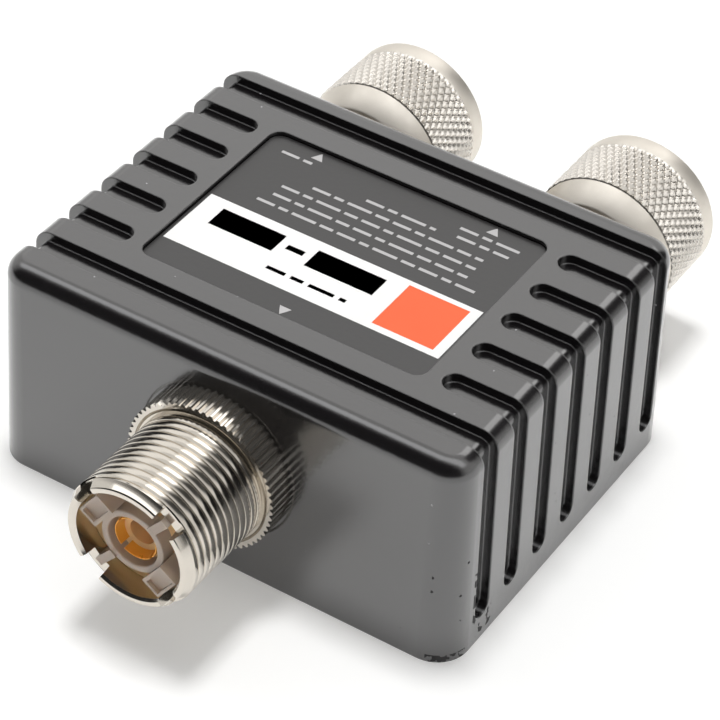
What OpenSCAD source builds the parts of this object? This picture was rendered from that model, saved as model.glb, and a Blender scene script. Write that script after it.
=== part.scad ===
// Three-port radio frequency duplexer in a ribbed die-cast housing.
// One threaded socket stands at the front (-Y), two plugs with captive
// coupling nuts stand at the back (+Y). Z is up, sizes are in millimetres,
// and the origin is the centre of the housing's underside.

/* [Housing] */
// Width across the foot of the housing
body_w = 59.7; // [58:0.1:66]
// Depth at the foot, from the socket side to the plug side
body_d = 47.6; // [46.6:0.1:54]
// Height of the casting
body_h = 27.3; // [26.3:0.1:32]
// Lean of all four sides, for release from the die
draft_deg = 1.3; // [0.5:0.1:2]
// Radius of the upright corners at the foot
corner_r = 4; // [3.6:0.1:5]
// Radius round the edge of the top
edge_r = 2.2; // [1.6:0.1:2.6]
// Thickness of the four side walls at the foot
wall_t = 2.6; // [2.3:0.1:2.8]
// Thickness of the roof
roof_t = 2.6; // [2.2:0.1:3.4]

/* [Ribs] */
// Number of grooves cut round each long side
groove_count = 7; // [3:2:7]
// Distance from one groove to the next
groove_pitch = 5.97; // [4.5:0.01:6]
// Width of a groove
groove_w = 2.85; // [2:0.05:3.5]
// Depth of a groove
groove_depth = 1.1; // [0.5:0.1:1.3]
// Half width of the smooth middle of the top, where short grooves end
groove_end_x = 19.8; // [18.5:0.1:22]
// Height above the foot at which the side grooves end
groove_end_z = 3.2; // [2:0.1:6]
// Shift of the groove and label pattern towards the plugs
pattern_y = 0.6; // [-0.6:0.1:0.6]

/* [Label] */
// Width of the label recess
label_w = 36; // [30:0.1:36.8]
// Depth of the label recess, front to back
label_d = 27; // [20:0.1:30]
// How far the recess is sunk into the top
label_sink = 0.8; // [0.5:0.1:1.2]
// Radius of the recess's corners
label_corner_r = 1.5; // [0.5:0.1:4]
// Thickness of the printed plate in the recess
label_t = 0.3; // [0.2:0.05:0.5]

/* [Bottom cover] */
// Thickness of the cover plate
cover_t = 1.5; // [1:0.1:2]
// Width of the housing's rim round the cover plate
cover_rim_t = 1.2; // [0.8:0.1:1.4]
// Distance of the cover screws from the middle, front to back
cover_screw_y = 15.5; // [10:0.5:16]
// Radius of the posts that take the cover screws
cover_post_r = 2.5; // [2:0.1:2.8]

/* [Connector layout] */
// Height of the connector axes above the foot
axis_z = 14.4; // [13.5:0.1:14.6]
// Distance of each plug's axis from the middle
plug_x = 15.6; // [14:0.1:16.4]

/* [Front socket] */
// Radius over the mating thread
thread_r = 7.94; // [7.85:0.01:8]
// Length of the threaded barrel in front of the ring nut
barrel_len = 13.2; // [10:0.1:16]
// Radius of the bore that holds the insulator
socket_bore_r = 6.5; // [6.2:0.05:6.8]
// Radius of the mounting thread that passes through the wall
shank_r = 8.2; // [8.1:0.05:8.4]
// Radius of the flange that bears on the inside of the wall
flange_r = 9; // [8.8:0.1:9.2]
// Thickness of that flange
flange_t = 1.5; // [1:0.1:2]
// Width of the four notches in the barrel's rim
notch_w = 2.9; // [2:0.1:3.2]
// Depth of the notches
notch_depth = 1.6; // [1:0.1:2.5]
// Turn of the notches from the diagonals
notch_turn = 4; // [0:1:20]
// Thickness of the knurled ring nut
ring_t = 3.5; // [2.5:0.1:5]
// Radius over the ring nut's teeth
ring_r = 9.25; // [9:0.05:9.6]
// Number of teeth round the ring nut
ring_teeth = 64; // [48:1:72]
// Depth of the ring nut's teeth
ring_tooth_depth = 0.35; // [0.2:0.05:0.45]

/* [Front insulator and contact] */
// How far the insulator's face lies below the rim
insulator_sink = 0.35; // [0.2:0.05:1]
// Radius over the insulator's hub
hub_r = 3.4; // [3.2:0.05:3.8]
// Thickness of the insulator's outer wall
skirt_t = 0.6; // [0.4:0.05:1]
// Thickness of the insulator's webs
web_t = 0.9; // [0.6:0.1:1.2]
// Depth of the open pockets between the webs
pocket_depth = 7; // [4:0.5:9]
// Width of each of the two wide webs
wide_web_w = 4.2; // [3.4:0.1:5]
// Thickness of the two walls along a wide web
wide_web_wall = 0.8; // [0.5:0.1:1]
// How far the middle of a wide web is sunk
wide_web_sink = 1.2; // [0.5:0.1:3]
// Turn of the insulator from the diagonals
insulator_turn = 5; // [0:1:20]
// Radius of the hole that takes the centre pin
contact_bore_r = 2; // [1.95:0.01:2.05]
// Wall of the slotted socket contact
contact_wall = 0.6; // [0.4:0.05:0.7]
// How far the contact's tip lies below the rim
contact_sink = 1.05; // [0.6:0.05:2]
// Depth of the contact's hole
contact_depth = 9.5; // [9:0.1:11]
// Width of the contact's four slits
slit_w = 0.5; // [0.3:0.05:0.6]

/* [Plugs] */
// Radius of the neck between housing and coupling nut
neck_r = 5.7; // [5.5:0.05:5.8]
// Length from the housing to the back of the plug's collar
neck_len = 10.2; // [10:0.1:10.3]
// Radius of the collar that meets the mating rim
collar_r = 7.3; // [7:0.05:7.4]
// Thickness of the collar
collar_t = 1; // [0.8:0.1:1.5]
// Radius of the plug's insulator
plug_core_r = 4.6; // [4.4:0.05:4.7]
// Radius of the mounting thread in the housing wall
plug_shank_r = 5; // [4.6:0.1:5.2]
// Radius of the bore through the mounting thread
plug_rear_bore_r = 3.4; // [3:0.1:3.8]
// Height of the four teeth on the collar's face
key_h = 1.2; // [0.6:0.1:1.5]
// Radius of the centre pin
pin_r = 1.98; // [1.9:0.01:2]
// Length of the centre pin in front of the insulator
pin_len = 7.1; // [6:0.1:7.5]

/* [Coupling nuts] */
// Outer radius of a coupling nut
nut_r = 9.1; // [8.9:0.05:9.4]
// Overall length of a coupling nut
nut_len = 13.5; // [12.8:0.1:15]
// Gap between the housing and the back of the nut
nut_gap = 5.3; // [4.9:0.1:5.6]
// Radius at the narrow back end of the nut's smooth cone
nut_rear_r = 7.6; // [7:0.05:8.2]
// Length of that cone
cone_len = 3.35; // [2.8:0.05:3.6]
// Radial step from the cone up to the knurled grip
cone_step = 0.2; // [0.1:0.05:0.4]
// Radius of the nut's threaded bore
nut_bore_r = 7.6; // [7.5:0.05:7.8]
// Free travel of the nut each way along its axis
nut_float = 0.4; // [0.2:0.05:0.4]
// Wire thickness of the snap ring, along the axis
snap_t = 0.7; // [0.5:0.05:0.8]

/* [Filter] */
// Width of the circuit board
board_w = 43; // [42:0.5:44]
// Depth of the circuit board
board_d = 36; // [35:0.5:36.5]
// Thickness of the circuit board
board_t = 1.6; // [1:0.1:2]
// Distance of the board screws from the middle, side to side
board_screw_x = 18; // [17:0.5:18.5]
// Distance of the board screws from the middle, front to back
board_screw_y = 12; // [11.5:0.5:13]
// Radius of the connector tails that lie under the board
tail_r = 0.9; // [0.6:0.05:1]
// Thickness of the shield sheet between the two filter halves
shield_t = 0.6; // [0.4:0.1:1]
// Turn radius of the low-pass coils
low_coil_r = 3.5; // [3:0.1:3.7]
// Turn radius of the high-pass coils
high_coil_r = 2.5; // [2:0.1:2.7]
// Radius of the coil wire
wire_r = 0.55; // [0.4:0.05:0.6]
// Radius of the ceramic discs
disc_r = 3.4; // [3:0.1:3.6]
// Thickness of the ceramic discs
disc_t = 2.2; // [1.8:0.1:2.4]

/* [Hidden] */
// Running clearance of the coupling nuts and snap rings
run_gap = 0.1;
// Clearance between pieces that are fixed to each other
seat_gap = 0.05;
// Fine clearance of pressed-in insulators
press_gap = 0.02;
// Overlap of a cutting shape past the surface that it cuts
cut = 1;

// Outset of a round edge, so that it crosses its flat sides cleanly
edge_outset = 0.004;

// Sides: inward lean per millimetre of rise, and how far edges come in
lean = tan(draft_deg);
edge_in = edge_r / cos(draft_deg) + (body_h - edge_r) * lean;
cavity_h = body_h - roof_t;
cavity_corner_r = corner_r - wall_t;

// Flat seats for the connectors, as distances from the middle plane
front_seat_r = ring_r + 0.4;
front_seat = body_d / 2 - lean * (axis_z + front_seat_r);
plug_seat_r = neck_r + 0.5;
lock_nut_flats = 13;
lock_nut_t = 2.2;
lock_nut_corner_r = lock_nut_flats / 2 / cos(30);
plug_seat = body_d / 2 - lean * (axis_z + plug_seat_r);
inner_seat = body_d / 2 - wall_t;

// Front socket, from the ring nut outwards
ring_face = front_seat + ring_t;
rim_face = ring_face + barrel_len;
rim_chamfer = 0.48;
thread_chamfer = 0.3;
insulator_face = rim_face - insulator_sink;
insulator_back = inner_seat - flange_t + 2.2;
stop_lip = 1.1;
contact_face = rim_face - contact_sink;
contact_r = contact_bore_r + contact_wall;
hub_bore_r = contact_r + 0.2;
stem_r = 1.5;
contact_floor = 1.2;
front_tail_end = 16;

// Plugs, from the housing outwards
collar_back = plug_seat + neck_len;
collar_face = collar_back + collar_t;
core_back = plug_seat + 2;
shank_end = inner_seat - lock_nut_t - 0.5;
pin_stem_r = 1.4;
pin_tip = collar_face + pin_len;
plug_tail_end = 15;
key_w = notch_w - 0.5;

// Coupling nut and snap ring
nut_back = plug_seat + nut_gap;
nut_face = nut_back + nut_len;
knurl_back = nut_back + cone_len;
nut_land_r = neck_r + run_gap;
nut_ledge = collar_back - nut_float - run_gap;
snap_in_r = neck_r - 0.3;
snap_out_r = neck_r + 0.6;
snap_mid = nut_ledge - 0.9;
snap_gap_deg = 30;
snap_side_gap = 0.05;

// Cover, board and screws
cover_gap = 0.1;
cover_post_x = body_w / 2 - wall_t - cover_post_r + 0.4;
screw_r = 1.05;
screw_hole_r = 1.4;
csk_head_r = 2.2;
csk_head_h = csk_head_r - screw_r;
cover_screw_len = 6;
board_under = axis_z + tail_r;
board_top = board_under + board_t;
board_y = -0.5;
board_post_r = 2.4;
pan_head_r = 2.2;
pan_head_h = 1.6;
board_screw_len = 4;
cross_w = 0.5;
cross_depth = 0.7;
post_hole_depth = 6.5;

// Filter parts hang from the board's underside
lead_drop = 1.4;
lead_r = 0.3;
shield_front = -13;
shield_back = board_y + board_d / 2 - 0.5;
coil_pitch = 2 * wire_r + 0.5;
low_coil_x = 4.9;
low_coil_ys = [-10, 0, 10];
low_turns = 4;
low_disc_x = 16.9;
low_disc_ys = [-6, 0, 6];
high_coil_x = -16;
high_coil_ys = [-5, 5];
high_turns = 2;
high_disc_x = -6;
high_disc_ys = [-11, 0, 11];

metal = [0.86, 0.83, 0.78];
gold = [0.92, 0.62, 0.2];
paint = [0.2, 0.19, 0.2];
resin = [0.6, 0.54, 0.5];
copper = [0.72, 0.38, 0.2];
ceramic = [0.78, 0.52, 0.28];

$fn = 72;

// Places a shape drawn along +Z so that it points out of the front
module out_front() {
    translate([0, 0, axis_z]) rotate([90, 0, 0]) children();
}

// Places a shape drawn along +Z so that it points out of the back
module out_back(side) {
    translate([side * plug_x, 0, axis_z]) rotate([-90, 0, 0]) children();
}

// Rectangle with round corners, about the origin
module rounded_rect(w, d, r) {
    square([w - 2 * r, d], center = true);
    square([w, d - 2 * r], center = true);
    for (x = [-1, 1], y = [-1, 1])
        translate([x * (w / 2 - r), y * (d / 2 - r)]) circle(r);
}

// Upright section of a leaning wall with a round top edge.
// reach is the distance from the axis to the wall's foot.
module wall_section(reach, h, er) {
    inset = er / cos(draft_deg) + (h - er) * lean;
    far = 3 * er;
    difference() {
        polygon([[0, 0], [reach, 0], [reach - h * lean, h], [0, h]]);
        translate([reach - inset, h - er]) difference() {
            polygon([
                [0, 0], [far * cos(draft_deg), far * sin(draft_deg)],
                [far, far], [0, far]
            ]);
            circle(er + edge_outset);
        }
    }
}

// Box with leaning sides, round upright corners and a round top edge
module leaning_box(w, d, h, r, er) {
    hx = w / 2 - r;
    hy = d / 2 - r;
    for (s = [0, 1]) {
        mirror([0, s, 0]) rotate([90, 0, 90])
            translate([0, 0, -hx]) linear_extrude(2 * hx)
                wall_section(d / 2, h, er);
        mirror([s, 0, 0]) rotate([90, 0, 0])
            translate([0, 0, -hy]) linear_extrude(2 * hy)
                wall_section(w / 2, h, er);
    }
    for (x = [0, 1], y = [0, 1])
        mirror([x, 0, 0]) mirror([0, y, 0]) translate([hx, hy, 0])
            rotate_extrude(angle = 90) wall_section(r, h, er);
}

// Section of the band between the grooves' floor and the open air.
// It starts at x = start on the top and ends at z = bottom on the side.
module groove_band(start, bottom) {
    difference() {
        translate([start, bottom])
            square([body_w / 2 - start + cut, body_h - bottom + cut]);
        wall_section(
            body_w / 2 - groove_depth / cos(draft_deg),
            body_h - groove_depth, edge_r - groove_depth
        );
        translate([-2 * cut, 0]) square([4 * cut, body_h - groove_depth]);
    }
}

// Long slot outline from the origin along +X, one end or both round
module slot_outline(len) {
    circle(groove_w / 2);
    translate([0, -groove_w / 2]) square([len, groove_w]);
}

// A groove from x = start on the top, over the edge and down one side
module groove(start, round_start) {
    wide = groove_w + 2 * cut;
    inner = round_start ? start + groove_w / 2 : start;
    intersection() {
        rotate([90, 0, 0]) translate([0, 0, -wide / 2]) linear_extrude(wide)
            groove_band(start, groove_end_z);
        translate([0, 0, groove_end_z + groove_w / 2]) rotate([0, -90, 0])
            translate([0, 0, -body_w]) linear_extrude(2 * body_w)
                slot_outline(body_h);
        if (round_start)
            translate([inner, 0, 0]) linear_extrude(2 * body_h)
                slot_outline(body_w);
    }
}

// All the grooves: the outer two cross the top, the others stay short
module grooves() {
    half = (groove_count - 1) / 2;
    for (k = [-half:half], s = [0, 1]) {
        crossing = abs(k) == half;
        start = crossing ? -cut : groove_end_x;
        translate([0, pattern_y + k * groove_pitch, 0])
            mirror([s, 0, 0]) groove(start, !crossing);
    }
}

module cover_post_places() {
    for (x = [-1, 1], y = [-1, 1])
        translate([x * cover_post_x, y * cover_screw_y, 0]) children();
}

module board_post_places() {
    for (x = [-1, 1], y = [-1, 1])
        translate([x * board_screw_x, board_y + y * board_screw_y, 0])
            children();
}

// One-piece die-casting, open below
module housing() {
    color(paint) difference() {
        union() {
            difference() {
                leaning_box(body_w, body_d, body_h, corner_r, edge_r);
                translate([0, 0, -cut]) linear_extrude(cavity_h + cut)
                    rounded_rect(
                        body_w - 2 * wall_t, body_d - 2 * wall_t,
                        cavity_corner_r
                    );
            }
            cover_post_places() translate([0, 0, cover_t / 2])
                cylinder(r = cover_post_r, h = cavity_h - cover_t / 2 + 0.5);
            board_post_places() translate([0, 0, board_top])
                cylinder(r = board_post_r, h = cavity_h - board_top + 0.5);
        }
        grooves();
        translate([0, pattern_y, body_h - label_sink])
            linear_extrude(label_sink + cut)
                rounded_rect(label_w, label_d, label_corner_r);
        translate([0, 0, -cut]) linear_extrude(cut + cover_t)
            rounded_rect(
                body_w - 2 * cover_rim_t, body_d - 2 * cover_rim_t,
                corner_r - cover_rim_t
            );
        cover_post_places() translate([0, 0, cover_t - cut])
            cylinder(r = screw_r, h = post_hole_depth + cut);
        board_post_places() translate([0, 0, board_top - cut])
            cylinder(r = screw_r, h = board_screw_len + cut);
        out_front() {
            translate([0, 0, inner_seat - cut])
                cylinder(r = shank_r + seat_gap, h = 3 * wall_t);
            translate([0, 0, front_seat])
                cylinder(r = front_seat_r, h = wall_t);
        }
        for (side = [-1, 1]) out_back(side) {
            translate([0, 0, inner_seat - cut])
                cylinder(r = plug_shank_r + seat_gap, h = 3 * wall_t);
            translate([0, 0, plug_seat])
                cylinder(r = plug_seat_r, h = wall_t);
        }
    }
}

// Printed plate glued into the recess
module label_plate() {
    color([0.36, 0.35, 0.34])
        translate([0, pattern_y, body_h - label_sink])
            linear_extrude(label_t)
                rounded_rect(
                    label_w - 2 * cover_gap, label_d - 2 * cover_gap,
                    label_corner_r - cover_gap
                );
}

// Plate that closes the underside, flush with the housing's rim
module bottom_cover() {
    color(paint) difference() {
        linear_extrude(cover_t)
            rounded_rect(
                body_w - 2 * (cover_rim_t + cover_gap),
                body_d - 2 * (cover_rim_t + cover_gap),
                corner_r - cover_rim_t - cover_gap
            );
        cover_post_places() {
            translate([0, 0, -cut])
                cylinder(r = screw_hole_r, h = cover_t + 2 * cut);
            csk_cone(seat_gap);
        }
    }
}

// Cone of a countersunk head, face down at z = 0
module csk_cone(gap) {
    cylinder(
        r1 = csk_head_r + gap, r2 = screw_r + gap,
        h = csk_head_h
    );
}

// Cross recess in a screw head, opening downwards at z = 0
module cross_recess(reach) {
    for (a = [0, 90]) rotate([0, 0, a])
        translate([-reach, -cross_w / 2, -cut])
            cube([2 * reach, cross_w, cross_depth + cut]);
}

// Four countersunk screws in the underside
module cover_screws() {
    color(metal) cover_post_places() difference() {
        union() {
            csk_cone(0);
            cylinder(r = screw_r, h = cover_screw_len);
        }
        cross_recess(csk_head_r * 0.6);
    }
}

// Turned brass body of the socket: flange, mounting thread, mating thread
module front_socket_body() {
    flange_back = inner_seat - flange_t;
    color(metal) out_front() difference() {
        rotate_extrude() polygon([
            [socket_bore_r - stop_lip, flange_back],
            [flange_r, flange_back],
            [flange_r, inner_seat],
            [shank_r, inner_seat],
            [shank_r, ring_face],
            [thread_r, ring_face],
            [thread_r, rim_face - rim_chamfer - thread_chamfer],
            [thread_r - rim_chamfer, rim_face],
            [socket_bore_r, rim_face],
            [socket_bore_r, insulator_back],
            [socket_bore_r - stop_lip, insulator_back]
        ]);
        for (k = [0:3]) rotate([0, 0, 45 + notch_turn + 90 * k])
            translate([0, -notch_w / 2, rim_face - notch_depth])
                cube([2 * thread_r, notch_w, notch_depth + cut]);
    }
}

// Outline of the ring nut's straight teeth
function tooth_outline() = [
    for (k = [0:ring_teeth - 1], c = [[0.1, 1], [0.36, 0], [0.64, 0], [0.9, 1]])
        let (a = (k + c[0]) * 360 / ring_teeth)
        let (r = ring_r - c[1] * ring_tooth_depth)
        [r * cos(a), r * sin(a)]
];

// Toothed ring nut that clamps the socket to the front wall
module front_ring_nut() {
    color(metal) out_front() difference() {
        translate([0, 0, front_seat]) linear_extrude(ring_t)
            polygon(tooth_outline());
        translate([0, 0, front_seat - cut])
            cylinder(r = shank_r + press_gap, h = ring_t + 2 * cut);
        translate([0, 0, ring_face - 0.3])
            cylinder(
                r1 = shank_r + press_gap, r2 = shank_r + 0.3 + cut,
                h = 0.3 + cut
            );
    }
}

// Moulded insulator with a hub, two thin webs and two wide hollow webs
module front_insulator() {
    outer = socket_bore_r - press_gap;
    inner = outer - skirt_t;
    socket_floor = contact_face - contact_depth - contact_floor;
    color(resin) out_front() rotate([0, 0, 45 + insulator_turn])
        difference() {
            translate([0, 0, insulator_back])
                cylinder(r = outer, h = insulator_face - insulator_back);
            translate([0, 0, socket_floor])
                cylinder(r = hub_bore_r, h = rim_face - socket_floor);
            translate([0, 0, insulator_back - cut])
                cylinder(r = stem_r + press_gap, h = rim_face);
            translate([0, 0, insulator_face - pocket_depth])
                linear_extrude(pocket_depth + cut) difference() {
                    circle(inner);
                    circle(hub_r);
                    square([3 * outer, web_t], center = true);
                    square([wide_web_w, 3 * outer], center = true);
                }
            translate([0, 0, insulator_face - wide_web_sink])
                linear_extrude(wide_web_sink + cut) intersection() {
                    difference() {
                        circle(inner);
                        circle(hub_r + 0.3);
                    }
                    square(
                        [wide_web_w - 2 * wide_web_wall, 3 * outer],
                        center = true
                    );
                }
        }
}

// Gilt socket contact with four slits and a solder tail
module front_contact() {
    back = contact_face - contact_depth - contact_floor;
    color(gold) out_front() difference() {
        rotate_extrude() polygon([
            [0, front_tail_end], [tail_r, front_tail_end],
            [tail_r, insulator_back - 1.5], [stem_r, insulator_back - 1.5],
            [stem_r, back], [contact_r, back], [contact_r, contact_face],
            [contact_bore_r, contact_face],
            [contact_bore_r, contact_face - contact_depth],
            [0, contact_face - contact_depth]
        ]);
        for (a = [45, 135]) rotate([0, 0, a + insulator_turn])
            translate([-2 * contact_r, -slit_w / 2, contact_face - 7])
                cube([4 * contact_r, slit_w, 7 + cut]);
    }
}

// Turned plug body: mounting thread, grooved neck, collar with four teeth
module plug_body(side) {
    half = snap_t / 2 + nut_float + snap_side_gap;
    groove_r = snap_in_r - run_gap;
    color(metal) out_back(side) {
        rotate_extrude() polygon([
            [plug_rear_bore_r, shank_end], [plug_shank_r, shank_end],
            [plug_shank_r, plug_seat], [neck_r, plug_seat],
            [neck_r, snap_mid - half], [groove_r, snap_mid - half],
            [groove_r, snap_mid + half], [neck_r, snap_mid + half],
            [neck_r, collar_back], [collar_r, collar_back],
            [collar_r, collar_face], [plug_core_r, collar_face],
            [plug_core_r, core_back], [plug_rear_bore_r, core_back]
        ]);
        intersection() {
            translate([0, 0, collar_face - 0.2]) difference() {
                cylinder(r = collar_r, h = key_h + 0.2);
                translate([0, 0, -cut])
                    cylinder(r = socket_bore_r, h = key_h + 2 * cut);
            }
            for (k = [0:3]) rotate([0, 0, 45 + 90 * k])
                translate([0, -key_w / 2, 0])
                    cube([2 * collar_r, key_w, 2 * rim_face]);
        }
    }
}

// Stepped insulator pressed into a plug body
module plug_insulator(side) {
    core = plug_core_r - press_gap;
    rear = plug_rear_bore_r - press_gap;
    color(resin) out_back(side) difference() {
        union() {
            translate([0, 0, core_back])
                cylinder(r = core, h = collar_face - core_back);
            translate([0, 0, shank_end])
                cylinder(r = rear, h = core_back - shank_end + 0.1);
        }
        translate([0, 0, shank_end - cut])
            cylinder(r = pin_stem_r + press_gap, h = rim_face);
    }
}

// Centre pin with a rounded nose, a stem in the insulator and a solder tail
module centre_pin(side) {
    nose = 0.8;
    color(gold) out_back(side) {
        rotate_extrude() polygon([
            [0, plug_tail_end], [tail_r, plug_tail_end],
            [tail_r, shank_end - 0.6], [pin_stem_r, shank_end - 0.6],
            [pin_stem_r, collar_face], [pin_r, collar_face],
            [pin_r, pin_tip - nose], [pin_r - nose, pin_tip], [0, pin_tip]
        ]);
    }
}

// Split snap ring that keeps the nut on the neck
module snap_ring(side) {
    color([0.7, 0.7, 0.72]) out_back(side)
        translate([0, 0, snap_mid - snap_t / 2])
            rotate([0, 0, snap_gap_deg / 2])
                rotate_extrude(angle = 360 - snap_gap_deg)
                    translate([snap_in_r, 0])
                        square([snap_out_r - snap_in_r, snap_t]);
}

// Coupling nut: rear cone, knurled grip and smooth band, threaded inside
module coupling_nut(side) {
    half = snap_t / 2 + snap_side_gap;
    groove_r = snap_out_r + run_gap;
    lead_in = 0.5;
    color(metal) out_back(side) rotate_extrude() polygon([
        [nut_land_r, nut_back], [nut_rear_r, nut_back],
        [nut_r - cone_step, knurl_back], [nut_r, knurl_back + cone_step],
        [nut_r, nut_face - 0.3],
        [nut_r - 0.3, nut_face], [nut_bore_r + lead_in, nut_face],
        [nut_bore_r, nut_face - lead_in], [nut_bore_r, nut_ledge],
        [nut_land_r, nut_ledge], [nut_land_r, snap_mid + half],
        [groove_r, snap_mid + half], [groove_r, snap_mid - half],
        [nut_land_r, snap_mid - half]
    ]);
}

module left_plug_body() { plug_body(-1); }
module left_plug_insulator() { plug_insulator(-1); }
module left_centre_pin() { centre_pin(-1); }
module left_snap_ring() { snap_ring(-1); }
module left_coupling_nut() { coupling_nut(-1); }
module right_plug_body() { plug_body(1); }
module right_plug_insulator() { plug_insulator(1); }
module right_centre_pin() { centre_pin(1); }
module right_snap_ring() { snap_ring(1); }
module right_coupling_nut() { coupling_nut(1); }

// Hexagon nuts that hold the plugs from inside
module plug_lock_nuts() {
    color(metal) for (side = [-1, 1]) out_back(side)
        translate([0, 0, inner_seat - lock_nut_t]) difference() {
            cylinder(r = lock_nut_corner_r, h = lock_nut_t, $fn = 6);
            translate([0, 0, -cut])
                cylinder(r = plug_shank_r + press_gap, h = lock_nut_t + 2 * cut);
        }
}

// Glass-fibre board that carries both filters
module filter_board() {
    color([0.24, 0.36, 0.22]) difference() {
        translate([0, board_y, board_under]) linear_extrude(board_t)
            rounded_rect(board_w, board_d, 1);
        board_post_places() translate([0, 0, board_under - cut])
            cylinder(r = screw_hole_r, h = board_t + 2 * cut);
    }
}

// Pan-head screws that hold the board to its posts
module board_screws() {
    color(metal) board_post_places()
        translate([0, 0, board_under - pan_head_h]) difference() {
            union() {
                cylinder(r = pan_head_r, h = pan_head_h);
                cylinder(
                    r = screw_r,
                    h = pan_head_h + board_t + board_screw_len - 0.5
                );
            }
            cross_recess(pan_head_r * 0.6);
        }
}

// Sheet-metal wall between the high-pass and low-pass halves
module shield_partition() {
    bottom = cover_t + 0.3;
    color([0.75, 0.76, 0.77])
        translate([-shield_t / 2, shield_front, bottom])
            cube([shield_t, shield_back - shield_front, board_under - bottom]);
}

// Path of a coil wire: down one lead, round the turns, up the other lead
function coil_path(r, turns, pitch, rise) = concat(
    [[0, r, rise]],
    [for (k = [0:12 * (turns + 0.5)])
        [pitch * k / 12, r * cos(30 * k), -r * sin(30 * k)]],
    [[pitch * (turns + 0.5), -r, rise]]
);

// Round wire along a path that winds about the X direction
module wire(path, r, sides = 8) {
    n = len(path);
    rings = [
        for (k = [0:n - 1])
            let (ahead = path[min(k + 1, n - 1)])
            let (behind = path[max(k - 1, 0)])
            let (way = (ahead - behind) / norm(ahead - behind))
            let (out = cross(way, [1, 0, 0]) / norm(cross(way, [1, 0, 0])))
            let (side = cross(way, out))
            for (j = [0:sides - 1])
                let (a = 360 * j / sides)
                path[k] + r * (cos(a) * out + sin(a) * side)
    ];
    sides_faces = [
        for (k = [0:n - 2], j = [0:sides - 1])
            let (next = (j + 1) % sides)
            for (corner = [
                [k * sides + j, (k + 1) * sides + j, (k + 1) * sides + next],
                [k * sides + j, (k + 1) * sides + next, k * sides + next]
            ]) corner
    ];
    ends = [
        [for (j = [0:sides - 1]) j],
        [for (j = [sides - 1:-1:0]) (n - 1) * sides + j]
    ];
    polyhedron(points = rings, faces = concat(ends, sides_faces));
}

// Air-wound coil that hangs from the board, first lead at x = 0
module coil(r, turns) {
    centre = board_under - lead_drop - r;
    translate([0, 0, centre])
        wire(coil_path(r, turns, coil_pitch, board_under - centre), wire_r);
}

// Ceramic disc on two leads under the board; its flat faces look along +-Y
module disc_capacitor() {
    translate([0, 0, board_under - lead_drop - disc_r]) rotate([90, 0, 0])
        rotate_extrude() {
            translate([0, -disc_t / 2]) square([disc_r - disc_t / 2, disc_t]);
            translate([disc_r - disc_t / 2, 0]) intersection() {
                circle(disc_t / 2);
                translate([0, -disc_t]) square([disc_t, 2 * disc_t]);
            }
        }
    for (s = [-1, 1])
        translate([s * disc_r * 0.6, 0, board_under - lead_drop - disc_r * 0.4])
            cylinder(r = lead_r, h = lead_drop + disc_r * 0.4);
}

module low_pass_coils() {
    color(copper) for (y = low_coil_ys)
        translate([low_coil_x, pattern_y + y, 0]) coil(low_coil_r, low_turns);
}

module low_pass_capacitors() {
    color(ceramic) for (y = low_disc_ys)
        translate([low_disc_x, board_y + y, 0]) disc_capacitor();
}

module high_pass_coils() {
    color(copper) for (y = high_coil_ys)
        translate([high_coil_x, board_y + y, 0]) coil(high_coil_r, high_turns);
}

module high_pass_capacitors() {
    color(ceramic) for (y = high_disc_ys)
        translate([high_disc_x, board_y + y, 0]) disc_capacitor();
}

housing();
label_plate();
bottom_cover();
cover_screws();
front_socket_body();
front_ring_nut();
front_insulator();
front_contact();
left_plug_body();
left_plug_insulator();
left_centre_pin();
left_snap_ring();
left_coupling_nut();
right_plug_body();
right_plug_insulator();
right_centre_pin();
right_snap_ring();
right_coupling_nut();
plug_lock_nuts();
filter_board();
board_screws();
shield_partition();
low_pass_coils();
low_pass_capacitors();
high_pass_coils();
high_pass_capacitors();
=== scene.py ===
import math
import bmesh
import bpy
import mathutils
import numpy as np
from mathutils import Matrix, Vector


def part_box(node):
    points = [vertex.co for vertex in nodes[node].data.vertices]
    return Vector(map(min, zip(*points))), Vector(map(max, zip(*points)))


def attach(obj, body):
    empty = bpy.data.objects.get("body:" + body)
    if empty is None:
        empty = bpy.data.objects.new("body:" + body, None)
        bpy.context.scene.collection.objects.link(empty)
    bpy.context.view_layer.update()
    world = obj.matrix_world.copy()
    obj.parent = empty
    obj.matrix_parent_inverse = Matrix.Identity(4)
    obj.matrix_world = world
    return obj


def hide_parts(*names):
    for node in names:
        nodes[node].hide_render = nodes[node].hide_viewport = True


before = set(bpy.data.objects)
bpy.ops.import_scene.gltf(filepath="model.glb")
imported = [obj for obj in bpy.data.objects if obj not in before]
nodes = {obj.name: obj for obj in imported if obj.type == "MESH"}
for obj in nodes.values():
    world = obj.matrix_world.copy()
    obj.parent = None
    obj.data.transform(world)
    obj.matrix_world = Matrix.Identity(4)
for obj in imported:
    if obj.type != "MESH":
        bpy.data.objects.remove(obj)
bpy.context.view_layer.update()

# The room. The duplexer stands on a white table that runs up to nothing. Two
# soft lamps hang behind it and two straight above; the photographer's side
# stays dark, which draws the black round the top's edge.

camera_data = bpy.data.cameras.new("camera")
camera_data.lens = 158.2
camera_data.sensor_width = 36
camera_data.clip_start = 0.01
camera = bpy.data.objects.new("camera", camera_data)
camera.location = (0.137507, -0.227626, 0.241407)
camera.rotation_euler = [math.radians(a) for a in (49.1599, -2.4206, 32.6808)]
bpy.context.collection.objects.link(camera)
bpy.context.scene.camera = camera
bpy.context.scene.view_settings.view_transform = "Standard"


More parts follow.
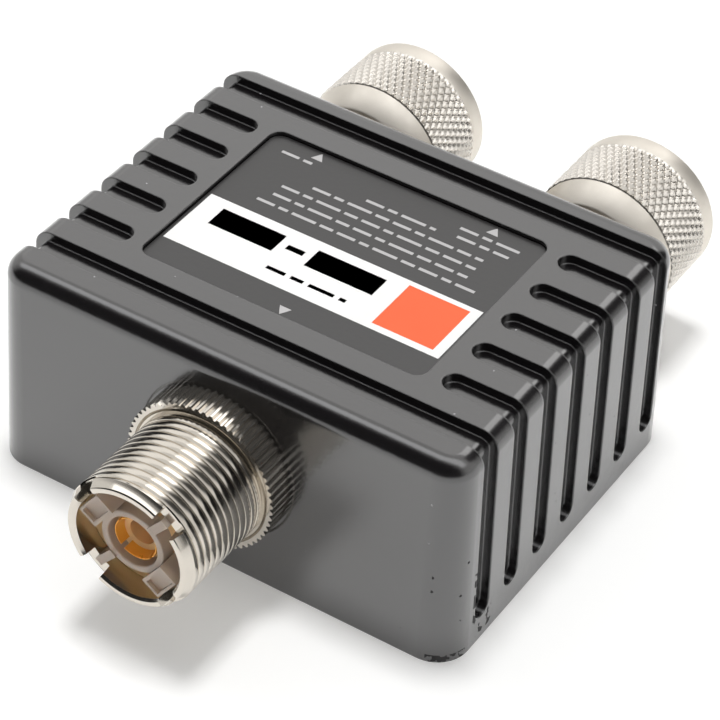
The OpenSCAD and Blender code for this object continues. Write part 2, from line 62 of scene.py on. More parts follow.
def new_material(name):
    """An empty node material with its Principled shader and its node maker:
    a value named in add is the node's property, or else its input."""
    material = bpy.data.materials.new(name)
    material.use_nodes = True
    tree = material.node_tree
    shader = tree.nodes["Principled BSDF"]

    def add(kind, **values):
        node = tree.nodes.new(kind)
        for key, value in values.items():
            if hasattr(node, key):
                setattr(node, key, value)
            else:
                node.inputs[key.replace("_", " ").title()].default_value = value
        return node

    def join(a, out, b, into):
        tree.links.new(a.outputs[out], b.inputs[into])

    return material, shader, add, join


table_half, seen_glow, mirrored_glow = 3, 0.14, 0.18
floor_mesh = bpy.data.meshes.new("floor")
floor_mesh.from_pydata(
    [(-table_half, -table_half, 0), (table_half, -table_half, 0),
     (table_half, table_half, 0), (-table_half, table_half, 0)], [], [(0, 1, 2, 3)])
floor = bpy.data.objects.new("floor", floor_mesh)
bpy.context.collection.objects.link(floor)
floor_paint, shader, add, join = new_material("table_white")
shader.inputs["Base Color"].default_value = (0.93, 0.93, 0.925, 1)
shader.inputs["Roughness"].default_value = 0.6
shader.inputs["Specular IOR Level"].default_value = 0.2
light_path = add("ShaderNodeLightPath")
seen = add("ShaderNodeMath", operation="MULTIPLY")
seen.inputs[1].default_value = seen_glow
mirrored = add("ShaderNodeMath", operation="MULTIPLY_ADD")
mirrored.inputs[1].default_value = mirrored_glow
join(light_path, "Is Camera Ray", seen, 0)
join(light_path, "Is Glossy Ray", mirrored, 0)
join(seen, 0, mirrored, 2)
shader.inputs["Emission Color"].default_value = (1, 1, 0.99, 1)
join(mirrored, 0, shader, "Emission Strength")
floor_mesh.materials.append(floor_paint)


def soft_light(name, place, aim, size, depth, watts, tint, glossy=True):
    """A rectangular lamp at place that points at aim: its z axis looks away
    from aim, its x axis is level, and its y axis is square to both."""
    lamp = bpy.data.lights.new(name, "AREA")
    lamp.shape = "RECTANGLE"
    lamp.size, lamp.size_y = size, depth
    lamp.energy = watts
    lamp.color = tint
    holder = bpy.data.objects.new(name, lamp)
    away = np.array(place, float) - np.array(aim, float)
    away /= np.linalg.norm(away)
    side = np.cross((0, 0, 1) if abs(away[2]) < 0.99 else (0, 1, 0), away)
    side /= np.linalg.norm(side)
    up = np.cross(away, side)
    turn = np.eye(4)
    turn[:3, 0], turn[:3, 1], turn[:3, 2], turn[:3, 3] = side, up, away, place
    holder.matrix_world = mathutils.Matrix(turn.tolist())
    holder.visible_glossy = glossy
    bpy.context.collection.objects.link(holder)


soft_light("back_strip", (-0.05, 1.0, 1.1), (0, 0, 0.01), 0.62, 0.5, 1.5,
           (1, 0.985, 0.98))
soft_light("back_left", (-0.85, 0.95, 0.95), (0, 0, 0.01), 0.9, 0.8, 0.8,
           (1, 0.985, 0.98))
soft_light("top_strip", (0, 0.02, 1.2), (0, 0, 0), 2.8, 0.5, 5.4,
           (0.97, 0.98, 1))
soft_light("overhead", (-0.05, 0.06, 1.0), (0, 0, 0), 0.2, 0.2, 4.8,
           (1, 1, 1), False)
soft_light("right_back_fill", (0.75, 0.95, 0.95), (0, 0, 0), 0.4, 0.4, 1.0,
           (1, 1, 1), False)
soft_light("left_fill", (-1.2, -0.3, 1.0), (0, 0, 0), 0.8, 0.8, 0.3,
           (1, 1, 1), False)
soft_light("socket_fill", (0.34, -0.8, 0.5), (0, -0.038, 0.0144), 0.1, 0.1, 0.01,
           (1, 0.97, 0.93), False)
bpy.data.lights["socket_fill"].spread = math.radians(7)

# The walls are bright behind the table and nearly dark on the photographer's
# side, with a dark gap at the back on the right. The camera sees plain white,
# a glossy surface the walls as they are, and the rest gets a share of them.
wall_dark, wall_bright, gap_depth, thrown_share = 0.03, 0.85, 0.93, 0.4
world = bpy.data.worlds.new("room")
bpy.context.scene.world = world
world.use_nodes = True
tree = world.node_tree
sky = tree.nodes["Background"]
direction = tree.nodes.new("ShaderNodeTexCoord")
heading = tree.nodes.new("ShaderNodeSeparateXYZ")
behind = tree.nodes.new("ShaderNodeMapRange")
behind.inputs["From Min"].default_value = -0.4
behind.inputs["From Max"].default_value = 0
behind.inputs["To Min"].default_value = wall_dark
behind.inputs["To Max"].default_value = wall_bright
far = tree.nodes.new("ShaderNodeMapRange")
far.inputs["From Min"].default_value = 0.35
far.inputs["From Max"].default_value = 0.5
across = tree.nodes.new("ShaderNodeValToRGB")
stops = across.color_ramp.elements
stops[0].position, stops[0].color = 0.58, (0, 0, 0, 1)
stops[1].position, stops[1].color = 0.88, (0, 0, 0, 1)
for gap_edge in (0.645, 0.8):
    stops.new(gap_edge).color = (1, 1, 1, 1)
sideways = tree.nodes.new("ShaderNodeMapRange")
sideways.inputs["From Min"].default_value = -1
tree.links.new(direction.outputs["Generated"], heading.inputs[0])
tree.links.new(heading.outputs["Y"], behind.inputs["Value"])
tree.links.new(heading.outputs["Y"], far.inputs["Value"])
tree.links.new(heading.outputs["X"], sideways.inputs["Value"])
tree.links.new(sideways.outputs["Result"], across.inputs["Fac"])


def sky_sum(kind, a, b):
    """One arithmetic step between two of the sky's values."""
    node = tree.nodes.new("ShaderNodeMath")
    node.operation = kind
    for slot, value in enumerate((a, b)):
        if isinstance(value, (int, float)):
            node.inputs[slot].default_value = value
        else:
            tree.links.new(value, node.inputs[slot])
    return node.outputs[0]


gap = sky_sum("MULTIPLY", across.outputs["Color"], far.outputs["Result"])
wall = sky_sum("MULTIPLY", behind.outputs["Result"],
               sky_sum("SUBTRACT", 1, sky_sum("MULTIPLY", gap, gap_depth)))
path = tree.nodes.new("ShaderNodeLightPath")
pick = tree.nodes.new("ShaderNodeMix")
pick.inputs["B"].default_value = 1
tree.links.new(path.outputs["Is Camera Ray"], pick.inputs["Factor"])
share = sky_sum("MULTIPLY_ADD", path.outputs["Is Glossy Ray"], 0.6)
share.node.inputs[2].default_value = thrown_share
tree.links.new(sky_sum("MULTIPLY", wall, share), pick.inputs["A"])
tree.links.new(pick.outputs["Result"], sky.inputs["Strength"])
sky.inputs["Color"].default_value = (1, 0.99, 0.975, 1)

# Housing and bottom cover. One die-casting in satin black enamel, with the
# cover below it in the same finish. Handling has left grey dust, pits at the
# near corner and along the rib crests, and chips at the foot.

paint, shader, add, join = new_material("black_enamel")
unworn_coat, worn_dullness = 0.7, 0.6
shader.inputs["Roughness"].default_value = 0.3
shader.inputs["IOR"].default_value = 1.85
shader.inputs["Coat Weight"].default_value = unworn_coat
shader.inputs["Coat IOR"].default_value = 1.7
shader.inputs["Coat Roughness"].default_value = 0.1


def shade_between(add, join, mask, out, shader, first, second):
    """Base colour that goes from first to second as the mask goes 0 to 1."""
    shade = add("ShaderNodeMix", data_type="RGBA")
    shade.inputs["A"].default_value = (*first, 1)
    shade.inputs["B"].default_value = (*second, 1)
    join(mask, out, shade, "Factor")
    join(shade, 2, shader, "Base Color")


# orange peel of the enamel, over edges that it has rounded
place = add("ShaderNodeTexCoord")
peel = add("ShaderNodeTexNoise", scale=900, detail=3)
join(place, "Object", peel, "Vector")
soft_edge = add("ShaderNodeBevel", samples=6, radius=0.00032)
skin = add("ShaderNodeBump", strength=0.05, distance=0.0003)
join(peel, "Fac", skin, "Height")
join(soft_edge, "Normal", skin, "Normal")
join(skin, "Normal", shader, "Coat Normal")
cloud = add("ShaderNodeTexNoise", scale=60)
join(place, "Object", cloud, "Vector")
dull = add("ShaderNodeMapRange", to_min=0.18, to_max=0.28)
join(cloud, "Fac", dull, "Value")

# dust: the middles of a few of the cells of a fine pattern
speck = add("ShaderNodeTexVoronoi", scale=420)
join(place, "Object", speck, "Vector")
dust = add("ShaderNodeMapRange", from_min=0.06, from_max=0.03)
join(speck, "Distance", dust, "Value")
sparse = add("ShaderNodeMath", operation="GREATER_THAN")
sparse.inputs[1].default_value = 0.85
cell = add("ShaderNodeSeparateColor")
join(speck, "Color", cell, "Color")
join(cell, "Red", sparse, 0)
fleck = add("ShaderNodeMath", operation="MULTIPLY")
join(dust, "Result", fleck, 0)
join(sparse, 0, fleck, 1)
shade_between(add, join, fleck, 0, shader, (0.005, 0.0042, 0.0048), (0.3, 0.3, 0.31))
spot = add("ShaderNodeSeparateXYZ")
join(place, "Object", spot, "Vector")


def worn(y_middle, y_reach, z_middle, z_reach, x_from, crumb, out, limit, kind):
    """1 inside a box at the right-hand wall, where a crumb pattern is above
    or below its limit; 0 elsewhere."""
    tests = []
    for axis, middle, reach in (("Y", y_middle, y_reach), ("Z", z_middle, z_reach)):
        node = add("ShaderNodeMath", operation="COMPARE")
        join(spot, axis, node, 0)
        node.inputs[1].default_value, node.inputs[2].default_value = middle, reach
        tests.append(node)
    node = add("ShaderNodeMath", operation="GREATER_THAN")
    join(spot, "X", node, 0)
    node.inputs[1].default_value = x_from
    tests.append(node)
    node = add("ShaderNodeMath", operation=kind)
    join(crumb, out, node, 0)
    node.inputs[1].default_value = limit
    last = node
    for test in tests:
        node = add("ShaderNodeMath", operation="MULTIPLY")
        join(last, 0, node, 0)
        join(test, 0, node, 1)
        last = node
    return last


# The places, from the top: a chipped line by the first side groove, chips at
# that groove's foot, pits on the near corner, the chipped edge of its foot,
# and sparse pits along the rib crests.
crumbs = add("ShaderNodeTexNoise", scale=1100)
join(place, "Object", crumbs, "Vector")
pits = add("ShaderNodeTexVoronoi", scale=650)
join(place, "Object", pits, "Vector")
above, below = "GREATER_THAN", "LESS_THAN"
marks = None
for mark in (
        worn(-0.01885, 0.00032, 0.0068, 0.0038, 0.0282, crumbs, "Fac", 0.47, above),
        worn(-0.0175, 0.0022, 0.0022, 0.0013, 0.029, crumbs, "Fac", 0.6, above),
        worn(-0.0222, 0.0018, 0.0075, 0.0075, 0.0268, pits, "Distance", 0.13, below),
        worn(-0.0222, 0.0018, 0.0004, 0.0006, 0.0268, crumbs, "Fac", 0.5, above),
        worn(0, 0.019, 0.0145, 0.009, 0.0291, pits, "Distance", 0.055, below)):
    if marks is None:
        marks = mark
        continue
    both = add("ShaderNodeMath", operation="MAXIMUM")
    join(marks, 0, both, 0)
    join(mark, 0, both, 1)
    marks = both
rubbed = add("ShaderNodeMath", operation="MULTIPLY_ADD")
join(marks, 0, rubbed, 0)
rubbed.inputs[1].default_value = worn_dullness
join(dull, "Result", rubbed, 2)
join(rubbed, 0, shader, "Roughness")
glazed = add("ShaderNodeMath", operation="MULTIPLY_ADD")
join(marks, 0, glazed, 0)
glazed.inputs[1].default_value, glazed.inputs[2].default_value = -unworn_coat, unworn_coat
join(glazed, 0, shader, "Coat Weight")
chipped = add("ShaderNodeBump", invert=True, strength=0.8, distance=0.0002)
join(marks, 0, chipped, "Height")
join(skin, "Normal", chipped, "Normal")
join(chipped, "Normal", shader, "Normal")


def dress(names, finish):
    """Puts one finish in every material slot of the named CAD nodes."""
    for name in names:
        for holder in nodes[name].material_slots:
            holder.material = finish


dress(("housing", "bottom_cover"), paint)

# Printed plate. A thin anodised plate lies glued in the recess, screen printed
# with a white stripe, an orange square, three arrows at the ports and rows of
# plain bars.

plate_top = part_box("label_plate")[1][2]
print_shift, shortest_bar = 0.6, 0.6
plate, shader, add, join = new_material("printed_plate")
shader.inputs["Base Color"].default_value = (0.02, 0.019, 0.019, 1)
shader.inputs["Roughness"].default_value = 0.42
shader.inputs["IOR"].default_value = 1.75


def fine_grain(add, join, pattern, shader, strength, distance):
    """A bump of the given strength and depth that follows a noise."""
    skin = add("ShaderNodeBump", strength=strength, distance=distance)
    join(pattern, "Fac", skin, "Height")
    join(skin, "Normal", shader, "Normal")


place = add("ShaderNodeTexCoord")
grain = add("ShaderNodeTexNoise", scale=1500)
join(place, "Object", grain, "Vector")
fine_grain(add, join, grain, shader, 0.08, 0.0002)
dress(("label_plate",), plate)


def ink(name, tint, outlines):
    """Flat printed shapes: each outline of x, y corners in millimetres
    becomes a face pair 0.012 mm apart, its sides closed."""
    low, high = plate_top - 0.000004, plate_top + 0.000008
    points, faces = [], []
    for outline in outlines:
        ring = np.array(outline, float) * 0.001
        count, base = len(ring), len(points)
        points += [(x, y, low) for x, y in ring]
        points += [(x, y, high) for x, y in ring]
        faces.append(tuple(base + count + k for k in range(count)))
        faces.append(tuple(base + k for k in reversed(range(count))))
        for k in range(count):
            j = (k + 1) % count
            faces.append((base + k, base + j, base + count + j, base + count + k))
    mesh = bpy.data.meshes.new(name)
    mesh.from_pydata(points, [], faces)
    material, shader, add, join = new_material(name)
    place = add("ShaderNodeTexCoord")
    cloud = add("ShaderNodeTexNoise", scale=300)
    join(place, "Object", cloud, "Vector")
    shade_between(add, join, cloud, "Fac", shader, tint, [c * 0.9 for c in tint])
    shader.inputs["Roughness"].default_value = 0.4
    mesh.materials.append(material)
    piece = bpy.data.objects.new(name, mesh)
    bpy.context.collection.objects.link(piece)
    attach(piece, "body")
    return piece


def block(x0, x1, y0, y1):
    """Corners of a rectangle, counter-clockwise, with the pattern's shift."""
    return [(x0, y0 + print_shift), (x1, y0 + print_shift),
            (x1, y1 + print_shift), (x0, y1 + print_shift)]


def arrow(x, y, way):
    """A triangle of 1.3 mm that points to +Y for way 1, to -Y for -1."""
    corners = [(x - 0.75, y + print_shift - 0.6 * way),
               (x + 0.75, y + print_shift - 0.6 * way),
               (x, y + print_shift + 0.7 * way)]
    return corners if way > 0 else corners[::-1]


def words(x0, x1, y, height, lengths, space=0.7):
    """A row of plain bars between x0 and x1, in the rhythm of lengths."""
    row, x, k = [], x0, 0
    while x < x1 - shortest_bar:
        end = min(x + lengths[k % len(lengths)], x1)
        row.append(block(x, end, y - height / 2, y + height / 2))
        x, k = end + space, k + 1
    return row


ink("white_stripe", (0.95, 0.95, 0.94), [
    block(-17.5, 8.7, -9.3, -0.1), block(16.3, 17.5, -9.3, -0.1),
    block(8.7, 16.3, -9.3, -8.4), block(8.7, 16.3, -0.8, -0.1)])
ink("orange_square", (0.93, 0.14, 0.042), [block(8.7, 16.3, -8.4, -0.8)])
rows = []
for y, x0, x1 in ((10.9, -15.5, -11.5), (10.8, 8, 15.5), (9.3, 8.5, 15), (8.9, -3, 6),
                  (7.3, -9, 13), (5.6, -12, 13.5), (3.9, -12, 14), (2.2, -13, 15)):
    rows += words(x0, x1, y, 0.42, (2.3, 1.2, 3.1, 1.7), 0.55)
ink("white_bars", (0.54, 0.53, 0.53), rows + [
    arrow(-11.5, 12.4, 1), arrow(11.4, 12.4, 1), arrow(0, -12.2, -1)])
ink("black_bands", (0.015, 0.015, 0.016), [
    block(-14.9, -6.6, -4.6, -1.5), block(-5.6, -3.4, -3.4, -2.6),
    block(-2.4, 6.3, -4.6, -1.5)] + words(-5.5, 4.6, -7.1, 0.55, (2.4, 1.6, 3.2)))

# Front socket barrel. Turned brass, bright nickel plated: a flange inside the
# wall, the mounting thread, the mating thread with its 1.058 mm pitch, and a
# rim with four notches milled across it. Sizes are in mm from here on.

axis_z = 0.0144
ring_face, rim = 26.754, 39.954
pitch, crest, bore_r = 1.058, 7.94, 6.5
wall_y, flange, flange_r, mount_r, neck_r, through_r = 21.2, 1.5, 9.0, 8.2, 7.7, 5.4
seat_y, nose, nose_r = 21.9, 0.28, 7.2
notch_at, notch_half, notch_floor = 49, 1.45 / 7.1, rim - 1.6
angles = np.linspace(0, 2 * np.pi, 361)


def closed_piece(name, points, faces, near):
    """An object from points and faces: points closer than near become one,
    faces without area go, and all faces are turned outwards."""
    mesh = bpy.data.meshes.new(name)
    mesh.from_pydata(points, [], faces)
    work = bmesh.new()
    work.from_mesh(mesh)
    bmesh.ops.remove_doubles(work, verts=work.verts, dist=near)
    bmesh.ops.dissolve_degenerate(work, edges=work.edges, dist=1e-7)
    bmesh.ops.recalc_face_normals(work, faces=work.faces)
    work.to_mesh(mesh)
    work.free()
    piece = bpy.data.objects.new(name, mesh)
    bpy.context.collection.objects.link(piece)
    return piece


def carried_round(name, rows_y, rows_r, angles, way=-1, centre=0.0):
    """A closed surface of revolution: point (row, column) lies at radius
    rows_r and distance rows_y along the axis, towards -Y or +Y by way, at
    the angle of its column. The last row joins the first, and the columns
    at 0 and 360 degrees are merged, so that rows may climb like a screw."""
    count, width = rows_y.shape
    x = centre + rows_r * np.cos(angles)
    z = axis_z * 1000 + rows_r * np.sin(angles)
    grid = np.stack([x, way * rows_y, z], -1).reshape(-1, 3) * 0.001
    i, j = np.meshgrid(np.arange(count), np.arange(width - 1), indexing="ij")
    below = (i + 1) % count
    quads = np.stack([i * width + j, below * width + j,
                      below * width + j + 1, i * width + j + 1], -1).reshape(-1, 4)
    piece = closed_piece(name, grid.tolist(), quads.tolist(), 2e-6)
    piece.data.shade_smooth()
    piece.data.set_sharp_from_angle(angle=math.radians(30))
    return piece


def level_rows(values, angles):
    """The same value in every column of a row."""
    return np.repeat(np.asarray(values, float)[:, None], len(angles), 1)


def screw_rows(start, end, angles, marks, radii, edge):
    """Rows that climb one pitch a turn between start and end. Each turn has
    rows at the given shares of the pitch with the given radii; a row that
    reaches an end stays there at the radius edge."""
    turns = np.arange(np.floor(start / pitch) - 2, np.ceil(end / pitch) + 2)
    share = (turns[:, None] + np.array(marks)[None, :]).ravel()
    rows_y = pitch * (share[:, None] + angles[None, :] / (2 * np.pi))
    rows_r = level_rows(np.tile(radii, len(turns)), angles)
    inside = (rows_y > start) & (rows_y < end)
    return np.clip(rows_y, start, end), np.where(inside, rows_r, edge)


def off_angle(degrees):
    """Each column's angle from the given one, the short way round."""
    return np.abs((angles - np.radians(degrees) + np.pi) % (2 * np.pi) - np.pi)


def nickel_plate(name, roughness, tint=(0.7, 0.655, 0.585), metallic=1):
    """A plated finish with a fine cloudiness and faint turning marks."""
    material, shader, add, join = new_material(name)
    shader.inputs["Metallic"].default_value = metallic
    place = add("ShaderNodeTexCoord")
    cloud = add("ShaderNodeTexNoise", scale=350, detail=4)
    join(place, "Object", cloud, "Vector")
    dull = add("ShaderNodeMapRange", to_min=roughness * 0.8, to_max=roughness * 1.25)
    join(cloud, "Fac", dull, "Value")
    join(dull, "Result", shader, "Roughness")
    shade_between(add, join, cloud, "Fac", shader, tint, [c * 0.86 for c in tint])
    lathe = add("ShaderNodeTexNoise", scale=1)
    stretch = add("ShaderNodeMapping", scale=(60, 5200, 60))
    join(place, "Object", stretch, "Vector")
    join(stretch, "Vector", lathe, "Vector")
    fine_grain(add, join, lathe, shader, 0.06, 0.00005)
    return material


bright = nickel_plate("bright_nickel", 0.14)
thread_y, thread_r = screw_rows(ring_face + 0.5, rim - 1.15, angles,
                                (0.0, 0.07, 0.13, 0.2, 0.4, 0.6, 0.8),
                                crest - np.array([0.045, 0.2, 0.2, 0.045, 0.011, 0, 0.011]),
                                crest)
bend = np.radians(np.linspace(0, 90, 6))
foot_y = [wall_y - flange, wall_y - flange, wall_y, wall_y, ring_face - 0.02,
          ring_face - 0.02, ring_face + 0.1]
foot_r = [through_r, flange_r, flange_r, mount_r, mount_r, neck_r, neck_r]
lip_y = [rim - 1.1, rim - 0.9, *(rim - nose + nose * np.sin(bend)), rim - 0.02,
         rim - 0.3, rim - 1.7, seat_y, seat_y]
lip_r = [crest, crest - 0.12, *(nose_r + nose * np.cos(bend)), 6.8,
         bore_r, bore_r, bore_r, through_r]
grid_y = np.concatenate([level_rows(foot_y, angles), thread_y, level_rows(lip_y, angles)])
grid_r = np.concatenate([level_rows(foot_r, angles), thread_r, level_rows(lip_r, angles)])
in_notch = np.zeros(len(angles), bool)
for quarter in range(4):
    in_notch |= off_angle(notch_at + 90 * quarter) < notch_half
grid_y = np.where(in_notch[None, :] & (grid_y > notch_floor), notch_floor, grid_y)
barrel = carried_round("front_barrel", grid_y, grid_r, angles[None, :])
barrel.data.materials.append(bright)
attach(barrel, "body")
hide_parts("front_socket_body")

# Ring nut and lock nuts. A thin nut with straight teeth is tightened against
# the front wall. Its plating is tinted darker than the barrel's: partly dirt,
# partly painted shade between its teeth. The hexagon nuts that lock the two
# plugs inside the back wall have the same darkened plating.

# Darker tint than the barrel's plating: partly dirt, partly painted shade between the
# teeth.
ring_dirt_and_shade_plate = nickel_plate("ring_nickel_dirt_and_shade", 0.13, (0.68, 0.64, 0.58), 0.93)
dress(("front_ring_nut", "plug_lock_nuts"), ring_dirt_and_shade_plate)

# Insulator. A smoky, half-clear moulding pressed into the barrel: a hub, two
# thin webs and two wide trays stand on a round root. Between them the root has
# a brighter amber copy of the same material: painted glow of light shining
# through the moulding.

resin, shader, add, join = new_material("smoky_moulding")
shader.inputs["Base Color"].default_value = (0.6, 0.5, 0.42, 1)
shader.inputs["Roughness"].default_value = 0.3
shader.inputs["IOR"].default_value = 1.5
shader.inputs["Transmission Weight"].default_value = 0.3
shader.inputs["Subsurface Weight"].default_value = 0.4
shader.inputs["Subsurface Radius"].default_value = (1, 0.8, 0.6)
shader.inputs["Subsurface Scale"].default_value = 0.001
place = add("ShaderNodeTexCoord")
cloud = add("ShaderNodeTexNoise", scale=500)
join(place, "Object", cloud, "Vector")
fine_grain(add, join, cloud, shader, 0.1, 0.0001)

hub_r, hub_bore, hub_edge, web_half, pad_half, pad_end = 3.9, 3.1, 0.1, 0.5, 1.9, 6.1
pad_face, hub_face, floor_y, rooted = rim - 0.3, rim - 1.15, rim - 3, 0.3
root_back, root_r, contact_hole = 21.92, 6.48, 1.55


def arm(middle, half, end, top, wall, sink):
    """A straight arm from inside the hub to its square end, closed all
    round: points at distance along and height level, turned to the angle
    middle. A tray of the given wall and sink is let into its top."""
    share = np.array([-1, 1, 1, 1 - wall / half, 1 - wall / half, wall / half - 1,
                      wall / half - 1, -1])
    height = np.array([floor_y - rooted, floor_y - rooted, top, top,
                       top - sink, top - sink, top, top])
    along = np.array([hub_r - 0.25, hub_r + 0.2, hub_r + 0.2, end - wall, end - wall, end])
    level = np.repeat(height[None, :], len(along), 0)
    solid = np.array([True, True, False, False, True, True])
    level[np.ix_(solid, [4, 5])] = top
    radial = np.repeat(along[:, None], len(share), 1)
    sideways = np.repeat(share[None, :] * half, len(along), 0)
    turn = np.radians(middle)
    x = radial * np.cos(turn) - sideways * np.sin(turn)
    z = axis_z * 1000 + radial * np.sin(turn) + sideways * np.cos(turn)
    grid = np.stack([x, -level, z], -1).reshape(-1, 3) * 0.001
    rows, width = len(along), len(share)
    i, j = np.meshgrid(np.arange(rows - 1), np.arange(width), indexing="ij")
    right = (j + 1) % width
    quads = np.stack([i * width + j, (i + 1) * width + j, (i + 1) * width + right,
                      i * width + right], -1).reshape(-1, 4).tolist()
    for row in (0, rows - 1):
        quads.append([row * width + k for k in (0, 1, 2, 7)])
        quads.append([row * width + k for k in (2, 3, 4, 5, 6, 7)])
    return grid.tolist(), quads


points, faces = [], []
for middle, half, end, top, wall, sink in (
        (50, web_half, root_r, hub_face + 0.25, 0.2, 0.01),
        (230, web_half, root_r, hub_face + 0.25, 0.2, 0.01),
        (144, pad_half, pad_end, pad_face, 0.3, 0.55),
        (324, pad_half, pad_end, pad_face, 0.3, 0.55)):
    more_points, more_faces = arm(middle, half, end, top, wall, sink)
    faces += [[k + len(points) for k in face] for face in more_faces]
    points += more_points
arms = closed_piece("moulding_arms", points, faces, 1e-6)
arms.data.materials.append(resin)
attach(arms, "body")

hub_rows_y = [hub_face - hub_edge, hub_face, hub_face, hub_face - hub_edge,
              floor_y - rooted, floor_y - rooted]
hub_rows_r = [hub_bore, hub_bore + hub_edge, hub_r - hub_edge, hub_r, hub_r, hub_bore]
hub = carried_round("moulding_hub", level_rows(hub_rows_y, angles),
                    level_rows(hub_rows_r, angles), angles[None, :])
hub.data.materials.append(resin)
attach(hub, "body")

root = carried_round(
    "moulding_root",
    level_rows([floor_y + 0.01, floor_y + 0.01, root_back, root_back], angles),
    level_rows([contact_hole, root_r, root_r, contact_hole], angles), angles[None, :])
# The root's brighter amber colour is painted glow of light shining through the moulding.
painted_glow_resin = resin.copy()
painted_glow_resin.name = "painted_glow_moulding"
painted_glow_shader = painted_glow_resin.node_tree.nodes["Principled BSDF"]
painted_glow_shader.inputs["Base Color"].default_value = (0.9, 0.58, 0.28, 1)
root.data.materials.append(painted_glow_resin)
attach(root, "body")
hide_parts("front_insulator")

# Centre contact and pins. The socket's contact is a gold-plated spring sleeve
# with four slits, turned from bar and pressed into the insulator, with a stem
# and a solder tail behind. The two plugs' pins have the same plating.

gilt = nickel_plate("gold_plate", 0.28, (1, 0.5, 0.085), 0.45)
mouth_y, sleeve, slit_depth, bore_depth = rim - 1.75, 10.7, 7, 9.5
tail_y, stem_y, tail_r, stem_r, sleeve_r, centre_r = 16, 20.4, 0.9, 1.5, 2.6, 0.002
slit_at, slit_half = 50, 0.1
contact_y = [tail_y, tail_y, stem_y, stem_y, mouth_y - sleeve, mouth_y - sleeve,
             mouth_y - 0.2, mouth_y, mouth_y, mouth_y - 1.6, mouth_y - slit_depth,
             mouth_y - bore_depth, mouth_y - bore_depth]
contact_r = [centre_r, tail_r, tail_r, stem_r, stem_r, sleeve_r,
             2.66, sleeve_r, 2.5, 2.2, 2.04, 2.0, centre_r]
tube_y, tube_r = level_rows(contact_y, angles), level_rows(contact_r, angles)
for quarter in range(4):
    slit = off_angle(slit_at + 90 * quarter) < slit_half
    tube_y = np.where(slit[None, :] & (tube_y > mouth_y - slit_depth),
                      mouth_y - slit_depth, tube_y)
contact = carried_round("spring_contact", tube_y, tube_r, angles[None, :])
contact.data.materials.append(gilt)
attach(contact, "body")
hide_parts("front_contact")
dress(("left_centre_pin", "right_centre_pin"), gilt)

# Coupling nuts. Each turned nut has a crossed knurl between a rear cone and a
# smooth band at its mouth, and a thread inside. It spins on its snap ring and
# floats with it along the plug.

nut_back, knurl_start, mouth = 28.633, 31.983, 42.133
knurl_end, nut_r, knurl_depth, end_step = mouth - 2.3, 9.1, 0.3, 0.06
thread_crest, thread_root, land_r, groove_r = 7.6, 8.1, 5.8, 6.4
ledge, groove_front, groove_back = 33.033, 32.533, 31.733
around, lead = 56, 1.77
knurl_plate = nickel_plate("knurled_nickel", 0.27, (0.8, 0.76, 0.7))
satin_plate = nickel_plate("satin_nickel", 0.45, (0.86, 0.81, 0.73))


def crossed_knurl(angle, along):
    """Height from 0 in the grooves to 1 on the points: the lower one of two
    triangle waves that wind round the nut to the left and to the right."""
    left = np.abs(((around * angle / (2 * np.pi) + along / lead) % 1) - 0.5) * 2
    right = np.abs(((around * angle / (2 * np.pi) - along / lead) % 1) - 0.5) * 2
    return np.clip(np.minimum(left, right) * 1.35, 0, 1)


def coupling_nut(name, centre, body, node):
    """The nut's closed profile: land, rear face, cone, knurled grip, smooth
    band, mouth, threaded bore, ledge and snap ring groove. The knurl fades
    out over 0.2 mm at both ends; the other rows are level rings."""
    angles = np.linspace(0, 2 * np.pi, around * 8 + 1)
    grip = np.arange(knurl_start + 0.06, knurl_end, lead / 12)
    height = crossed_knurl(angles[None, :], grip[:, None] - knurl_start)
    fade = np.clip(np.minimum(grip - knurl_start, knurl_end - grip) / 0.2, 0, 1)[:, None]
    grip_r = nut_r - knurl_depth * (1 - height) * fade - end_step * (1 - fade)
    inner_y, inner_r = screw_rows(
        33.4, mouth - 0.6, angles, (0.0, 0.12, 0.5, 0.62),
        (thread_crest, thread_root, thread_root, thread_crest), thread_crest)
    cone_y = [nut_back, nut_back, nut_back + 0.12, knurl_start - 0.1, knurl_start]
    cone_r = [land_r, 7.5, 7.65, 8.9, 8.86]
    band_y = mouth - np.array([2.27, 2.1, 0.4, 0.2, 0.06, 0, 0, 0.5])
    band_r = [9.0, 9.07, 9.07, 9.02, 8.88, 8.7, 8.15, thread_crest]
    ledge_y = [33.2, ledge, ledge, groove_front, groove_front, groove_back, groove_back]
    ledge_r = [thread_crest, thread_crest, land_r, land_r, groove_r, groove_r, land_r]
    grid_y = np.concatenate([level_rows(cone_y, angles), level_rows(grip, angles),
                             level_rows(band_y, angles), inner_y[::-1],
                             level_rows(ledge_y, angles)])
    grid_r = np.concatenate([level_rows(cone_r, angles), grip_r,
                             level_rows(band_r, angles), inner_r[::-1],
                             level_rows(ledge_r, angles)])
    piece = carried_round(name, grid_y, grid_r, angles[None, :], 1, centre)
    piece.data.materials.append(knurl_plate)
    piece.data.materials.append(satin_plate)
    centres = np.empty(len(piece.data.polygons) * 3)
    piece.data.polygons.foreach_get("center", centres)
    along = centres.reshape(-1, 3)[:, 1] * 1000
    plain = (along < knurl_start - 0.05) | (along > knurl_end)
    piece.data.polygons.foreach_set("material_index", plain.astype(int))
    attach(piece, body)
    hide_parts(node)


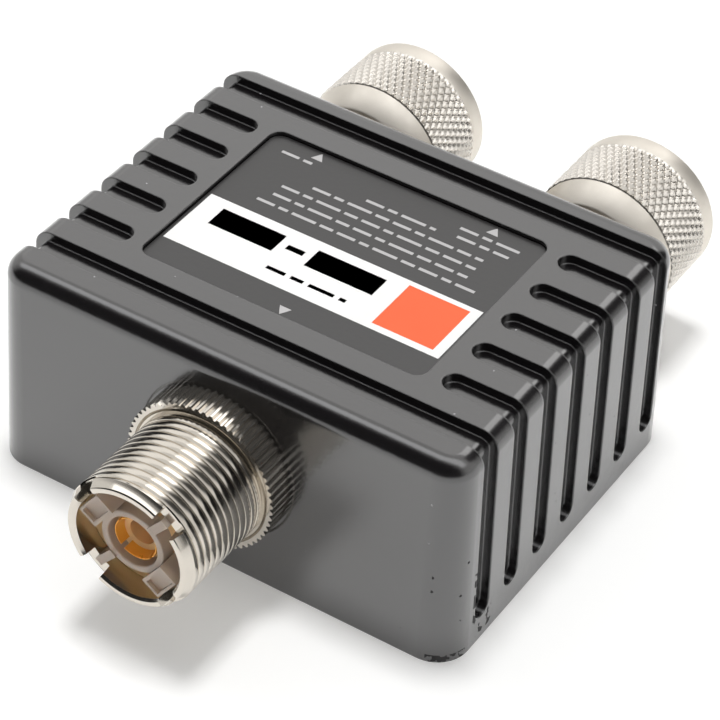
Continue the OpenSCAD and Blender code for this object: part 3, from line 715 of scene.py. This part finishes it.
coupling_nut("left_nut_shell", -15.6, "left_nut", "left_coupling_nut")
coupling_nut("right_nut_shell", 15.6, "right_nut", "right_coupling_nut")

# Plugs. The bodies are turned and nickel plated like the barrel, the milky
# insulators are pressed into them, and the snap rings are bare spring wire.

wire = nickel_plate("spring_wire", 0.3, (0.6, 0.6, 0.62))
dress(("left_plug_body", "right_plug_body"), bright)
dress(("left_snap_ring", "right_snap_ring"), wire)


def plain_finish(name, tint, roughness, grain, metallic=0.0):
    """A moulded or rolled finish: one colour, clouded by noise of the
    given grain, with a slight bump."""
    material, shader, add, join = new_material(name)
    shader.inputs["Metallic"].default_value = metallic
    shader.inputs["Roughness"].default_value = roughness
    place = add("ShaderNodeTexCoord")
    cloud = add("ShaderNodeTexNoise", scale=grain, detail=4)
    join(place, "Object", cloud, "Vector")
    shade_between(add, join, cloud, "Fac", shader, [c * 0.85 for c in tint], tint)
    fine_grain(add, join, cloud, shader, 0.1, 0.0001)
    return material


milky = plain_finish("milky_plastic", (0.84, 0.83, 0.79), 0.4, 400)
dress(("left_plug_insulator", "right_plug_insulator"), milky)

# Screws and filter. Zinc-plated screws hold the cover and the board. Inside, a
# green board carries enamelled copper coils, dipped ceramic discs and a tinned
# shield.

for name, finish in (
        ("cover_screws", plain_finish("zinc_screw", (0.62, 0.62, 0.6), 0.3, 800, 1)),
        ("board_screws", plain_finish("board_screw", (0.6, 0.6, 0.6), 0.35, 800, 1)),
        ("filter_board", plain_finish("green_laminate", (0.05, 0.16, 0.06), 0.45, 900)),
        ("shield_partition", plain_finish("tinned_sheet", (0.7, 0.7, 0.7), 0.3, 300, 1)),
        ("low_pass_coils", plain_finish("copper_wire", (0.75, 0.33, 0.16), 0.25, 900, 1)),
        ("high_pass_coils", plain_finish("thin_copper", (0.78, 0.36, 0.18), 0.25, 900, 1)),
        ("low_pass_capacitors", plain_finish("brown_disc", (0.4, 0.17, 0.05), 0.4, 700)),
        ("high_pass_capacitors", plain_finish("ochre_disc", (0.5, 0.27, 0.08), 0.4, 700))):
    dress((name,), finish)
